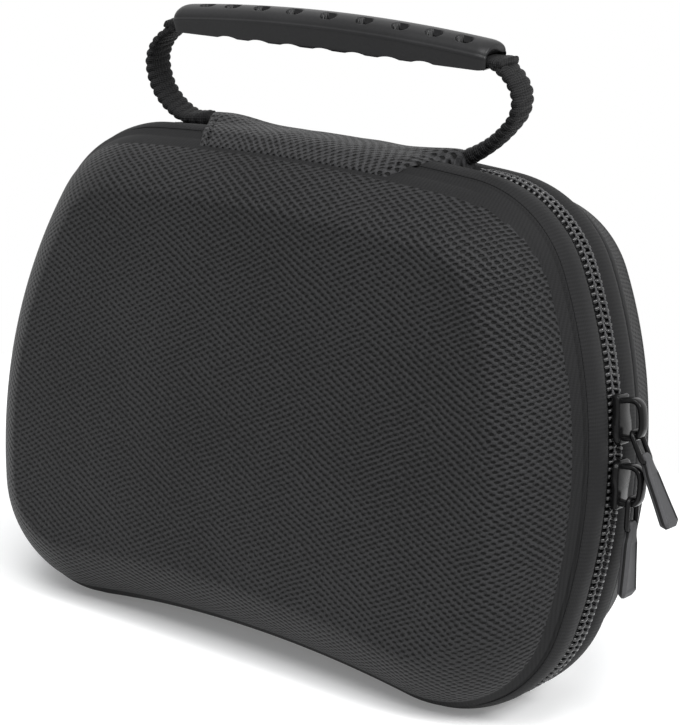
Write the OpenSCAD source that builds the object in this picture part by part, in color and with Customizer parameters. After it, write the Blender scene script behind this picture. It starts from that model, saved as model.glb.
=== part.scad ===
// Moulded carrying case for a game controller: two zipped shells, a fabric hinge and a strap handle.
// X runs across the case, Y from the front face to the back, Z up. The zip lies in the plane Y = 0.
// The origin is on the floor, midway between the two lobes that the case stands on.

/* [Case] */
// Width over the rim, side to side
case_width = 180; // [174:1:188]
// Height over the rim, from the lobes to the top edge
case_height = 134; // [130:1:140]
// How far the front shell stands out from the zip's middle plane
front_depth = 33; // [31:1:38]
// How far the rear shell stands out from the zip's middle plane
rear_depth = 39; // [36:1:44]
// Thickness of the moulded wall, fabric on both faces included
shell_wall = 3.2; // [2.6:0.1:3.8]

/* [Outline] */
// Height at which the case is widest
widest_height = 53.5; // [51:0.5:56]
// Radius of the two long sides
side_radius = 134; // [127:1:145]
// Radius of the two bottom lobes
lobe_radius = 34; // [31:1:37]
// Radius of the two top corners
corner_radius = 34; // [31:1:37]
// Radius of the nearly straight top edge
top_radius = 640; // [560:10:800]
// Height of the arch between the lobes
arch_height = 4; // [3:0.5:6]

/* [Shell form] */
// Depth of the straight drafted wall of the front shell
front_draft_depth = 2; // [1:0.5:4]
// How far that wall leans inwards
front_draft = 1.7; // [1.3:0.1:2.3]
// How far the front face's bevelled edge reaches inwards
front_edge = 14.5; // [13:0.5:16]
// Roundness of that edge: 1 would be a straight bevel, 2 a quarter of an ellipse
front_roundness = 1.33; // [1.2:0.01:1.6]
// Depth of the straight drafted wall of the rear shell
rear_draft_depth = 15.5; // [12:0.5:18]
// How far that wall leans inwards
rear_draft = 3.9; // [3:0.1:4.6]
// How far the rear face's rounded edge reaches inwards
rear_edge = 11; // [9:0.5:13]
// Roundness of that edge, on the same scale
rear_roundness = 1.85; // [1.6:0.05:2.2]
// Bulge of each face over its flat edge
face_crown = 1; // [0.6:0.1:1.4]

/* [Rim band] */
// Distance from the zip's middle plane to the groove beside each band
groove_distance = 14; // [13:0.5:15.5]
// Depth of that groove below the shell beside it
groove_depth = 1; // [0.6:0.1:1.4]
// Height of the padded zip tape on the shell's rim
band_height = 1.6; // [1.3:0.1:2]
// Thickness of the zip tape where the coil is sewn on
tape_thickness = 0.55; // [0.4:0.05:0.7]
// Width of the binding inside each rim
binding_width = 7.5; // [6:0.5:9]
// Thickness of that binding
binding_thickness = 0.9; // [0.6:0.1:1.2]

/* [Zip] */
// Width of one row of coil
coil_width = 2.7; // [2.4:0.1:2.9]
// Height of the coil on its tape
coil_height = 2.05; // [1.8:0.05:2.2]
// Space between the two rows, where the slider's post runs
coil_gap = 1; // [0.9:0.1:1.2]
// Distance from one modelled coil ridge to the next
coil_pitch = 1.8; // [1.8:0.2:4]
// Depth of the hollow between two ridges
coil_relief = 0.9; // [0.5:0.1:1.1]
// Angle of the upper slider above the centre of the side's arc
upper_slider_angle = 11; // [10.8:0.1:12.4]
// Angle of the lower slider above the centre of the side's arc
lower_slider_angle = 4.4; // [3.4:0.1:4.6]
// Length of a slider's plates
slider_length = 12; // [11:0.5:12.5]
// Width of a slider's top plate at its nose
slider_width = 8.4; // [7.8:0.1:8.8]
// Height of the crown over the top plate
crown_height = 5.3; // [4.9:0.1:5.8]

/* [Pulls] */
// Length of a pull tab
tab_length = 18.5; // [17:0.5:22]
// Width of a tab at its end
tab_width = 7; // [6:0.5:8]
// Width of a tab where the link holds it
tab_neck = 3.3; // [3:0.1:3.4]
// Thickness of a tab
tab_thickness = 2.3; // [2:0.1:2.6]
// Distance between the centres of a link's two bars
link_length = 7.6; // [7.2:0.2:8.4]
// Diameter of the link's wire
link_wire = 1.3; // [1.1:0.1:1.4]
// Lean of the upper pull, which rests on the lower slider's crown
upper_pull_lean = 31; // [31:0.5:36]
// Lean of the lower pull
lower_pull_lean = 5; // [0:1:10]

/* [Hinge and handle] */
// Half the length of the fabric hinge strip
strip_half_length = 41; // [38:1:44]
// Thickness of the hinge strip
strip_thickness = 1.8; // [1.4:0.1:2]
// Width of the strap webbing
strap_width = 9.4; // [8.4:0.2:9.8]
// Thickness of the strap webbing
strap_thickness = 2.6; // [2.2:0.1:2.8]
// Distance from one cross rib of the webbing to the next
rib_pitch = 2.2; // [2:0.1:3]
// Height of a cross rib over the webbing between ribs
rib_relief = 0.35; // [0.2:0.05:0.5]
// Diameter of the strap's pinched roots
root_diameter = 4.8; // [4:0.1:5.2]
// How far the handle leans forwards at rest
handle_lean = 11; // [0:1:14]
// Length of the grip
grip_length = 93; // [88:1:96]
// Width of the grip
grip_width = 12; // [11.8:0.2:13.4]
// Height of the grip at its middle
grip_height = 9; // [8.8:0.2:10]
// Rise of the grip's arched top from its ends to its middle
grip_rise = 2.4; // [1.6:0.2:2.4]
// Number of oval holes along the top
grip_holes = 9; // [5:2:9]
// Length of an oval hole
grip_hole_length = 4.6; // [3.6:0.2:5.2]
// Width of an oval hole
grip_hole_width = 3; // [2.4:0.1:3.4]

/* [Inside] */
// Height of the net pocket's open edge above the floor
pocket_top = 76; // [66:1:84]
// Size of an opening in the net, across its corners
net_hole = 6.2; // [5:0.2:6.6]
// Distance between net openings
net_pitch = 12; // [11:0.5:14]
// Height at which the elastic retaining strap crosses the rear shell
elastic_height = 66; // [60:1:74]
// Width of that strap
elastic_width = 25; // [20:1:30]

/* [Hidden] */
$fn = 48;

fabric_black = [0.17, 0.17, 0.18];
tape_black = [0.13, 0.13, 0.14];
coil_black = [0.1, 0.1, 0.11];
metal_black = [0.2, 0.2, 0.21];
rubber_grey = [0.3, 0.3, 0.31];
net_grey = [0.24, 0.24, 0.25];

// Running clearance between parts that move, and the gap between parts sewn on each other
running_gap = 0.3;
lay_gap = 0.1;

// The outline's arcs: centres of the side, lobe, top, corner and arch circles, all in the XZ plane
side_centre = [case_width / 2 - side_radius, widest_height];
lobe_centre = [side_centre.x + sqrt(pow(side_radius - lobe_radius, 2)
    - pow(widest_height - lobe_radius, 2)), lobe_radius];
top_centre = [0, case_height - top_radius];
corner_centre = circle_meet(side_centre, side_radius - corner_radius,
    top_centre, top_radius - corner_radius);
arch_radius = (pow(lobe_centre.x, 2) + pow(lobe_radius - arch_height, 2) - pow(lobe_radius, 2))
    / (2 * arch_height);
arch_centre = [0, arch_height - arch_radius];

top_to_corner = direction(corner_centre - top_centre);
corner_to_side = direction(corner_centre - side_centre);
side_to_lobe = direction(lobe_centre - side_centre);
lobe_to_arch = direction(arch_centre - lobe_centre);
arch_start = lobe_to_arch + 180;
strip_angle = asin(strip_half_length / top_radius);
zip_start_angle = 90 - asin((strip_half_length + 1) / top_radius);

// Each arc is [centre, radius, first angle, last angle, +1 outwards or -1 inwards, steps]
corner_arc = [corner_centre, corner_radius, top_to_corner, corner_to_side, 1, 7];
side_arc = [side_centre, side_radius, corner_to_side, side_to_lobe, 1, 6];
lobe_arc = [lobe_centre, lobe_radius, side_to_lobe, lobe_to_arch, 1, 9];
arch_arc = [arch_centre, arch_radius, arch_start, 90, -1, 6];
half_outline = [[top_centre, top_radius, 90, top_to_corner, 1, 5], corner_arc, side_arc,
    lobe_arc, arch_arc];
half_zip = [[top_centre, top_radius, zip_start_angle, top_to_corner, 1, 2], corner_arc, side_arc,
    lobe_arc, arch_arc];

// Depths, in the section through the rim
rim_y = coil_gap / 2 + coil_width + 0.4;
coil_y = coil_gap / 2;
coil_seat = coil_height + 0.2;
tape_floor = coil_seat + tape_thickness;
shoulder = band_height + 0.3;
groove_floor = shoulder + groove_depth;
shoulder_y = groove_distance + 1.5;
binding_inset = band_height + shell_wall + lay_gap;

// The lid, the strip and the handle all turn about this line along X
hinge_z = case_height + root_diameter / 2 - 0.6;

// Inside: the pocket and the elastic strap lie against the bindings' inner edges
inside_inset = band_height + shell_wall + running_gap;
inside_half_width = case_width / 2 - inside_inset;
pocket_y = rim_y + binding_width + running_gap;
net_thickness = 0.8;
net_reach = 62;
net_floor = 20;
net_arch_reach = 34;
net_arch_floor = arch_height + inside_inset + net_pitch;
hem_height = 7;
hem_thickness = 1.8;
elastic_thickness = 1.3;
anchor_thickness = 1.1;
anchor_length = 14;

// The slider's levels, measured outwards from the outline
slot_top = 0.1;
slot_floor = -tape_floor - running_gap;
plate_thickness = 1.6;
floor_thickness = 1.2;
crown_width = 3.4;
crown_bar = 1.5;
crown_top = slot_top + plate_thickness + crown_height;
pivot_out = slot_top + plate_thickness + 2.6;
pivot_down = -slider_length / 2 + 3.1;
window_radius = 1.3;

// The handle's own frame: X along the grip from its middle, Z up from the hinge line
handle_middle = -2;
strap_rise = 24.4;
strap_taper = 2.6;
sleeve_ease = 1;
strap_side = [[38.6, 0], [44.4, 0.5], [49.8, 2.3], [53.9, 5.9], [55.9, 11], [55.2, 16.6],
    [51.8, 21.4], [grip_length / 2 + 0.6, strap_rise - 0.15], [grip_length / 2 - 3.5, strap_rise]];
strap_route = concat([for (p = strap_side) [-p.x, p.y]],
    [for (i = [len(strap_side) - 1:-1:0]) strap_side[i]]);
grip_floor = strap_rise - 3;
grip_shoulder = 5.8;
grip_taper = 1.1;
dome_radius = 8.5;
dome_ledge = 0.4;
grip_end_radius = 2.4;
slot_gap = 0.25;
slot_lift = 0.35;
hole_margin = 7.4;
hole_floor = 1.1;
scallop_pitch = 9.8;
scallop_radius = 9;
scallop_depth = 0.55;

// Angle of a vector in the XZ plane
function direction(v) = atan2(v.y, v.x);

// The upper right point at distances r and s from the centres a and b
function circle_meet(a, r, b, s) =
    let (d = norm(b - a), u = (b - a) / d, along = (r * r - s * s + d * d) / (2 * d),
        up = sqrt(r * r - along * along))
    a + along * u + up * [-u.y, u.x] * (u.y < 0 ? 1 : -1);

// Points of one arc at an inset, leaving out the last, which starts the next arc
function arc_points(arc, inset) =
    [for (i = [0:arc[5] - 1])
        let (a = arc[2] + (arc[3] - arc[2]) * i / arc[5], r = arc[1] - arc[4] * inset)
        arc[0] + r * [cos(a), sin(a)]];

function right_half(inset) = [for (arc = half_outline) each arc_points(arc, inset)];

// The whole outline at an inset, from the middle of the top round and back
function outline(inset) =
    let (right = right_half(inset), bottom = [0, arch_height + inset])
    [for (p = right) [-p.x, p.y], bottom, for (i = [len(right) - 1:-1:1]) right[i]];

function ring(inset, y) = [for (p = outline(inset)) [p.x, y, p.y]];

// A ring drawn in towards the middle of the face
function small_ring(inset, y, share) =
    [for (p = outline(inset)) [p.x * share, y, face_middle + (p.y - face_middle) * share]];

face_middle = case_height * 0.47;

// Stations [x, z, angle, mark] along one arc, spaced by a step
function arc_stations(arc, step) =
    let (n = max(2, 2 * round(arc[1] * abs(arc[3] - arc[2]) * PI / 360 / step)))
    [for (i = [0:n - 1])
        let (a = arc[2] + (arc[3] - arc[2]) * i / n)
        [arc[0].x + arc[1] * cos(a), arc[0].y + arc[1] * sin(a), a + (arc[4] < 0 ? 180 : 0), i % 2]];

// Stations along the zip, from the right end of the hinge strip all the way round to the left end
function zip_stations(step) =
    let (right = [for (arc = half_zip) each arc_stations(arc, step)])
    [each right, [0, arch_height, 270, 0],
        for (i = [len(right) - 1:-1:0]) [-right[i].x, right[i].y, 180 - right[i][2], right[i][3]]];

// A closed solid through rings of points that all have the same count
module skin(rings) {
    n = len(rings[0]);
    last = len(rings) - 1;
    walls = [for (r = [0:last - 1]) for (i = [0:n - 1])
        let (a = r * n + i, b = r * n + (i + 1) % n)
        each [[a, b, b + n], [a, b + n, a + n]]];
    polyhedron([for (r = rings) each r],
        concat(walls, [[for (i = [n - 1:-1:0]) i], [for (i = [0:n - 1]) last * n + i]]));
}

// The same, with the last ring closed onto a point
module domed_skin(rings, tip) {
    n = len(rings[0]);
    last = len(rings) - 1;
    walls = [for (r = [0:last - 1]) for (i = [0:n - 1])
        let (a = r * n + i, b = r * n + (i + 1) % n)
        each [[a, b, b + n], [a, b + n, a + n]]];
    dome = [for (i = [0:n - 1]) [last * n + i, last * n + (i + 1) % n, (last + 1) * n]];
    polyhedron(concat([for (r = rings) each r], [tip]),
        concat(walls, dome, [[for (i = [n - 1:-1:0]) i]]));
}

// A closed hoop through rings, the last joined back to the first
module hoop(rings) {
    n = len(rings[0]);
    count = len(rings);
    walls = [for (r = [0:count - 1]) for (i = [0:n - 1])
        let (a = r * n + i, b = r * n + (i + 1) % n, c = (r + 1) % count * n + i,
            d = (r + 1) % count * n + (i + 1) % n)
        each [[a, b, d], [a, d, c]]];
    polyhedron([for (r = rings) each r], walls);
}

// Rings of a shell's outer face, towards +Y: rim seat, groove, drafted wall, rounded edge
function outer_rings(depth, draft_depth, draft, edge, roundness) =
    let (wall_y = shoulder_y + draft_depth, edge_depth = depth - face_crown - wall_y,
        reach = shoulder + draft + edge, n = 2 / roundness)
    [ring(band_height, rim_y), ring(band_height, groove_distance - 0.5),
        ring(groove_floor, groove_distance + 0.3), ring(shoulder, shoulder_y),
        for (t = [0:18:90])
            ring(reach - edge * pow(cos(t), n), wall_y + edge_depth * pow(sin(t), n)),
        small_ring(reach, depth - face_crown * 0.3, 0.6)];

// Rings of its inner face, one wall further in
function inner_rings(depth, draft_depth, draft, edge, roundness) =
    let (wall_y = shoulder_y + draft_depth, edge_depth = depth - face_crown - wall_y - shell_wall,
        reach = shoulder + draft + edge, bend = edge - shell_wall, n = 2 / roundness)
    [ring(band_height + shell_wall, rim_y - 1), ring(band_height + shell_wall, groove_distance),
        for (t = [0:30:90])
            ring(reach - bend * pow(cos(t), n), wall_y + edge_depth * pow(sin(t), n))];

module shell(depth, draft_depth, draft, edge, roundness) {
    difference() {
        domed_skin(outer_rings(depth, draft_depth, draft, edge, roundness), [0, depth, face_middle]);
        skin(inner_rings(depth, draft_depth, draft, edge, roundness));
    }
}

// A section [y, inset] carried along one arc of the outline as a true sweep
module sweep_arc(arc, section) {
    first = min(arc[2], arc[3]);
    translate([arc[0].x, 0, arc[0].y])
        rotate([90, 0, 0])
            rotate([0, 0, first])
                rotate_extrude(angle = abs(arc[3] - arc[2]), $fn = 360)
                    polygon([for (p = section) [arc[1] - arc[4] * p.y, -p.x]]);
}

module sweep_both_sides(arcs, section) {
    for (arc = arcs) {
        sweep_arc(arc, section);
        mirror([1, 0, 0]) sweep_arc(arc, section);
    }
}

// Zip tape: flat under the coil, then padded over the shell's rim as far as the groove
module zip_tape() {
    seat = band_height - lay_gap;
    bank = groove_distance - 0.7;
    section = [[0.7, tape_floor], [rim_y - lay_gap, tape_floor], [rim_y - lay_gap, seat],
        [bank, seat], [bank, 0.9], [bank - 2.1, 0], [rim_y + 2.4, 0], [rim_y + 0.3, 1],
        [rim_y - 0.2, coil_seat + lay_gap], [0.7, coil_seat + lay_gap]];
    sweep_both_sides(half_zip, section);
}

// One row of coil: a bar with a ridge at every pitch
module zip_coil() {
    outer_y = coil_y + coil_width;
    stations = zip_stations(coil_pitch);
    section = function(s)
        let (top = 0.2 + coil_relief * s[3], out = [cos(s[2]), sin(s[2])])
        [for (q = [[coil_y, coil_seat], [coil_y, top], [outer_y, top + 0.2], [outer_y, coil_seat]])
            [s.x - q.y * out.x, q.x, s.y - q.y * out.y]];
    skin([for (s = stations) section(s)]);
}

module edge_binding() {
    floor_inset = binding_inset + binding_thickness;
    far_y = rim_y + binding_width;
    hoop([ring(binding_inset, rim_y), ring(binding_inset, far_y), ring(floor_inset - 0.3, far_y),
        ring(floor_inset, far_y - 0.7), ring(floor_inset, rim_y + 0.7),
        ring(floor_inset - 0.3, rim_y)]);
}

module front_shell() {
    color(fabric_black)
        mirror([0, 1, 0])
            shell(front_depth, front_draft_depth, front_draft, front_edge, front_roundness);
}

module rear_shell() {
    color(fabric_black)
        shell(rear_depth, rear_draft_depth, rear_draft, rear_edge, rear_roundness);
}

module zip_tape_front() {
    color(tape_black) mirror([0, 1, 0]) zip_tape();
}

module zip_tape_rear() {
    color(tape_black) zip_tape();
}

module zip_coil_front() {
    color(coil_black) mirror([0, 1, 0]) zip_coil();
}

module zip_coil_rear() {
    color(coil_black) zip_coil();
}

module front_edge_binding() {
    color(tape_black) mirror([0, 1, 0]) edge_binding();
}

module rear_edge_binding() {
    color(tape_black) edge_binding();
}

// Padded mesh strip that joins the two rims along the top and carries the handle
module hinge_strip() {
    edge = groove_distance - 0.4;
    under = band_height - lay_gap;
    crest = under - strip_thickness;
    section = [[-edge, under], [edge, under], [edge, under - 0.9], [edge - 1.6, crest + 0.25],
        [edge - 4, crest], [-edge + 4, crest], [-edge + 1.6, crest + 0.25], [-edge, under - 0.9]];
    color(fabric_black)
        sweep_arc([top_centre, top_radius, 90 - strip_angle, 90 + strip_angle, 1, 1], section);
}

// Places a slider's own frame on the side's arc: X outwards, Z along the zip
module on_side(angle) {
    translate([side_centre.x, 0, side_centre.y])
        rotate([0, -angle, 0])
            translate([side_radius, 0, 0]) children();
}

// A plate in the YZ plane that narrows from the nose at the top to the tail
module plate(nose_width, tail_width, thickness) {
    n = nose_width / 2;
    t = tail_width / 2;
    h = slider_length / 2;
    rotate([90, 0, 90])
        linear_extrude(thickness)
            polygon([[-t + 0.8, -h], [t - 0.8, -h], [t, -h + 0.9], [t, -h + 2.6], [n, 0.6],
                [n, h - 2], [n - 1.8, h], [-n + 1.8, h], [-n, h - 2], [-n, 0.6],
                [-t, -h + 2.6], [-t, -h + 0.9]]);
}

// A flat loop with rounded corners, seen along Y
module rounded_slab(length, height, radius, width) {
    rotate([90, 0, 0])
        linear_extrude(width, center = true)
            union() {
                translate([0, -length / 2 + radius]) square([height - radius, length - 2 * radius]);
                translate([0, -length / 2]) square([height - radius, length]);
                translate([height - radius, -length / 2 + radius]) square([radius, length - 2 * radius]);
                translate([height - radius, length / 2 - radius]) circle(radius);
                translate([height - radius, -length / 2 + radius]) circle(radius);
            }
}

// Slider: floor plate inside the case, post between the coils, top plate and the crown over it
module zip_slider(angle, nose_up) {
    floor_width = 2 * (rim_y - running_gap);
    crown_length = slider_length - 1.6;
    crown_out = crown_height + 0.2;
    on_side(angle)
        rotate([nose_up ? 0 : 180, 0, 0]) {
            translate([slot_top, 0, 0]) plate(slider_width, slider_width - 1.6, plate_thickness);
            translate([slot_floor - floor_thickness, 0, 0])
                plate(floor_width, floor_width - 0.8, floor_thickness);
            translate([slot_floor - 0.2, -0.2, slider_length / 2 - 5])
                cube([slot_top - slot_floor + 0.4, 0.4, 4.4]);
            difference() {
                translate([slot_top + plate_thickness - 0.2, 0, 0])
                    rounded_slab(crown_length, crown_out, 2.6, crown_width);
                translate([slot_top + plate_thickness, 0, 0])
                    rounded_slab(crown_length - 2 * crown_bar, crown_height - crown_bar,
                        window_radius, crown_width + 1);
            }
        }
}

module zip_slider_upper() {
    color(metal_black) zip_slider(upper_slider_angle, false);
}

module zip_slider_lower() {
    color(metal_black) zip_slider(lower_slider_angle, true);
}

// Where a slider's link turns, as [x, z]
function pivot(angle) = side_centre + (side_radius + pivot_out) * [cos(angle), sin(angle)]
    + pivot_down * [-sin(angle), cos(angle)];

// Places a pull's own frame at the link's bar: hanging down along Z, leaning outwards
module at_pivot(angle, lean) {
    p = pivot(angle);
    translate([p.x, 0, p.y]) rotate([0, -lean, 0]) children();
}

// Link: two bars across, joined by a wire on each side
module pull_link() {
    arm_y = crown_width / 2 + running_gap + link_wire / 2;
    for (z = [0, -link_length])
        translate([0, 0, z])
            rotate([90, 0, 0]) cylinder(d = link_wire, h = 2 * arm_y, center = true, $fn = 24);
    for (side = [-1, 1])
        translate([0, side * arm_y, -link_length]) {
            cylinder(d = link_wire, h = link_length, $fn = 24);
            sphere(d = link_wire, $fn = 24);
            translate([0, 0, link_length]) sphere(d = link_wire, $fn = 24);
        }
}

// Tab: a flared slab with a round eye for the link's lower bar and a bevelled end
module pull_tab() {
    eye_radius = link_wire / 2 + 0.15;
    top = -link_length + eye_radius + 1.3;
    end = top - tab_length;
    half = tab_thickness / 2;
    difference() {
        intersection() {
            rotate([90, 0, 90])
                linear_extrude(tab_thickness, center = true)
                    polygon([[-tab_neck / 2 + 0.7, top], [tab_neck / 2 - 0.7, top],
                        [tab_neck / 2, top - 0.8], [tab_neck / 2, top - 3.4],
                        [tab_neck / 2 + 0.7, top - 5], [tab_width / 2, end + 1.4],
                        [tab_width / 2 - 0.9, end], [-tab_width / 2 + 0.9, end],
                        [-tab_width / 2, end + 1.4], [-tab_neck / 2 - 0.7, top - 5],
                        [-tab_neck / 2, top - 3.4], [-tab_neck / 2, top - 0.8]]);
            rotate([90, 0, 0])
                linear_extrude(tab_width + 2, center = true)
                    polygon([[-half + 0.5, top], [half - 0.5, top], [half, top - 0.8],
                        [half, end + 1.2], [half - 0.8, end], [-half + 0.8, end],
                        [-half, end + 1.2], [-half, top - 0.8]]);
        }
        translate([0, 0, -link_length])
            rotate([90, 0, 0]) cylinder(r = eye_radius, h = tab_width + 2, center = true, $fn = 24);
    }
}

module pull_link_upper() {
    color(metal_black) at_pivot(upper_slider_angle, upper_pull_lean) pull_link();
}

module pull_link_lower() {
    color(metal_black) at_pivot(lower_slider_angle, lower_pull_lean) pull_link();
}

module pull_tab_upper() {
    color(rubber_grey) at_pivot(upper_slider_angle, upper_pull_lean) pull_tab();
}

module pull_tab_lower() {
    color(rubber_grey) at_pivot(lower_slider_angle, lower_pull_lean) pull_tab();
}

// A smooth curve through the strap's route: point t between p1 and p2
function smooth(p0, p1, p2, p3, t) =
    0.5 * (2 * p1 + (p2 - p0) * t + (2 * p0 - 5 * p1 + 4 * p2 - p3) * t * t
        + (3 * p1 - p0 - 3 * p2 + p3) * t * t * t);

function route_point(u) =
    let (last = len(strap_route) - 1, i = min(floor(u), last - 1), t = u - i)
    smooth(strap_route[max(i - 1, 0)], strap_route[i], strap_route[i + 1],
        strap_route[min(i + 2, last)], t);

// The webbing's cross-section at a share of its full size, as [across the face, along Y]
function webbing_section(thickness, width) =
    let (a = thickness / 2, b = width / 2)
    [[a, -b * 0.72], [a, b * 0.72], [0, b], [-a, b * 0.72], [-a, -b * 0.72], [0, -b]];

// Places the handle's own frame on the hinge line, leaning forwards
module on_handle() {
    translate([handle_middle, 0, hinge_z]) rotate([handle_lean, 0, 0]) children();
}

// Strap: ribbed webbing between the grip and the roots, plain inside the grip, pinched at each root
module handle_strap() {
    last = len(strap_route) - 1;
    sleeve = grip_length / 2 + 1;
    steps = [for (i = [0:last - 1])
        let (inside = max(abs(strap_route[i].x), abs(strap_route[i + 1].x)) < sleeve,
            length = norm(strap_route[i + 1] - strap_route[i]),
            n = inside ? 2 : max(2, 2 * round(length / rib_pitch)))
        each [for (k = [0:n - 1]) [i + k / n, inside ? 0 : k % 2, inside ? 1 : 0]]];
    stations = concat(steps, [[last, 0, 0]]);
    rings = [for (s = stations)
        let (u = s[0], p = route_point(u), q = route_point(min(u + 0.02, last)),
            o = route_point(max(u - 0.02, 0)), along = (q - o) / norm(q - o),
            face = [-along.y, along.x], spread = min(1, min(u, last - u) / strap_taper),
            thick = root_diameter + (strap_thickness - root_diameter) * spread - rib_relief * s[1],
            wide = root_diameter + (strap_width - root_diameter) * spread - rib_relief * s[1]
                - sleeve_ease * s[2])
        [for (w = webbing_section(thick, wide)) [p.x + face.x * w.x, w.y, p.y + face.y * w.x]]];
    color(tape_black) on_handle() skin(rings);
}

// The grip's D-shaped section, as [across, up from its floor]: skirt below a shoulder, dome above
module grip_section() {
    half = grip_width / 2;
    dome = half - dome_ledge;
    polygon([[-half + grip_taper, 0], [half - grip_taper, 0], [half, grip_shoulder],
        [-half, grip_shoulder]]);
    intersection() {
        translate([0, grip_height - dome_radius]) circle(dome_radius);
        translate([-dome, grip_shoulder - 1]) square([2 * dome, grip_height]);
    }
}

// Grip: the section swept along a shallow arch, cut flat below, with a slot for the strap
module handle_grip() {
    arch = pow(grip_length / 2, 2) / (2 * grip_rise);
    half_angle = asin(grip_length / 2 / arch);
    slot_width = strap_width - sleeve_ease + 2 * slot_gap;
    slot_height = strap_thickness + 2 * slot_lift;
    color(rubber_grey)
        on_handle()
            translate([0, 0, grip_floor])
                difference() {
                    intersection() {
                        translate([0, 0, -arch])
                            rotate([90, 0, 0])
                                rotate([0, 0, 90 - half_angle])
                                    rotate_extrude(angle = 2 * half_angle, $fn = 240)
                                        translate([arch, 0]) rotate(-90) grip_section();
                        grip_side_view(grip_end_radius);
                    }
                    translate([-grip_length, -slot_width / 2, strap_rise - grip_floor - slot_height / 2])
                        cube([2 * grip_length, slot_width, slot_height]);
                    grip_top_holes();
                    grip_finger_scallops();
                }
}

// Side view of the grip with rounded ends, as a block across it
module grip_side_view(radius) {
    half = grip_length / 2;
    top = grip_height - grip_rise;
    rotate([90, 0, 0])
        linear_extrude(grip_width + 2, center = true)
            union() {
                translate([-half, radius * 0.4]) square([grip_length, top - radius * 1.4]);
                translate([-half + radius, 0]) square([grip_length - 2 * radius, grip_height + 1]);
                translate([-half + radius, top - radius]) circle(radius);
                translate([half - radius, top - radius]) circle(radius);
            }
}

// Oval holes along the top, closer together towards the ends
module grip_top_holes() {
    reach = grip_length / 2 - hole_margin;
    count = (grip_holes - 1) / 2;
    straight = (grip_hole_length - grip_hole_width) / 2;
    floor_z = strap_rise - grip_floor + strap_thickness / 2 + hole_floor;
    for (i = [-count:count]) {
        share = i / count;
        x = reach * share * (1.1 - 0.1 * share * share);
        translate([x, 0, floor_z]) {
            translate([-straight, 0, 0]) cylinder(d = grip_hole_width, h = grip_height);
            translate([straight, 0, 0]) cylinder(d = grip_hole_width, h = grip_height);
            translate([-straight, -grip_hole_width / 2, 0])
                cube([2 * straight, grip_hole_width, grip_height]);
        }
    }
}

// Shallow finger hollows across the grip's underside
module grip_finger_scallops() {
    count = floor((grip_length / 2 - hole_margin) / scallop_pitch);
    for (i = [-count:count])
        translate([i * scallop_pitch, 0, scallop_depth - scallop_radius])
            rotate([90, 0, 0]) cylinder(r = scallop_radius, h = grip_width + 2, center = true);
}

// A flat piece that fills the case's inside between two heights, seen along Y
module inside_slice(bottom, top, thickness) {
    rotate([90, 0, 0])
        linear_extrude(thickness)
            intersection() {
                polygon(outline(inside_inset));
                translate([-case_width / 2, bottom]) square([case_width, top - bottom]);
            }
}

// Diamond openings in staggered rows, clear of the net's rim and of the arch
module net_openings() {
    columns = ceil(net_reach / net_pitch);
    rows = floor((pocket_top - net_floor) / (net_pitch / 2));
    for (r = [0:rows - 1]) {
        shift = r % 2 == 0 ? 0 : net_pitch / 2;
        z = pocket_top - net_pitch * 0.6 - r * net_pitch / 2;
        for (c = [-columns:columns]) {
            x = c * net_pitch + shift;
            if (abs(x) < net_reach && (abs(x) > net_arch_reach || z > net_arch_floor))
                translate([x, z]) rotate(45) square(net_hole / sqrt(2), center = true);
        }
    }
}

// Net pocket in the front shell: a panel sewn in behind the binding, with rows of openings
module mesh_pocket() {
    color(net_grey)
        difference() {
            translate([0, -pocket_y, 0]) inside_slice(0, pocket_top, net_thickness);
            translate([0, -pocket_y + 1, 0])
                rotate([90, 0, 0]) linear_extrude(net_thickness + 2) net_openings();
        }
}

// Elastic hem along the net's open edge
module pocket_hem() {
    color(tape_black)
        translate([0, -pocket_y, 0])
            inside_slice(pocket_top + lay_gap, pocket_top + hem_height, hem_thickness);
}

// Elastic strap that holds the controller in the rear shell
module retaining_strap() {
    color(tape_black)
        translate([0, pocket_y + elastic_thickness, 0])
            inside_slice(elastic_height, elastic_height + elastic_width, elastic_thickness);
}

// Sewn patch that holds one end of the elastic strap
module strap_anchor() {
    translate([0, pocket_y + elastic_thickness + lay_gap + anchor_thickness, 0])
        intersection() {
            inside_slice(elastic_height - 1, elastic_height + elastic_width + 1, anchor_thickness);
            translate([inside_half_width - anchor_length, -case_width / 2, 0])
                cube([case_width, case_width, case_height]);
        }
}

module strap_anchor_left() {
    color(net_grey) mirror([1, 0, 0]) strap_anchor();
}

module strap_anchor_right() {
    color(net_grey) strap_anchor();
}

front_shell();
rear_shell();
zip_tape_front();
zip_tape_rear();
zip_coil_front();
zip_coil_rear();
front_edge_binding();
rear_edge_binding();
hinge_strip();
zip_slider_upper();
zip_slider_lower();
pull_link_upper();
pull_link_lower();
pull_tab_upper();
pull_tab_lower();
handle_strap();
handle_grip();
mesh_pocket();
pocket_hem();
retaining_strap();
strap_anchor_left();
strap_anchor_right();
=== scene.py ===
import math
import random

import bmesh
import bpy
from mathutils import Matrix, Vector


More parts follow.
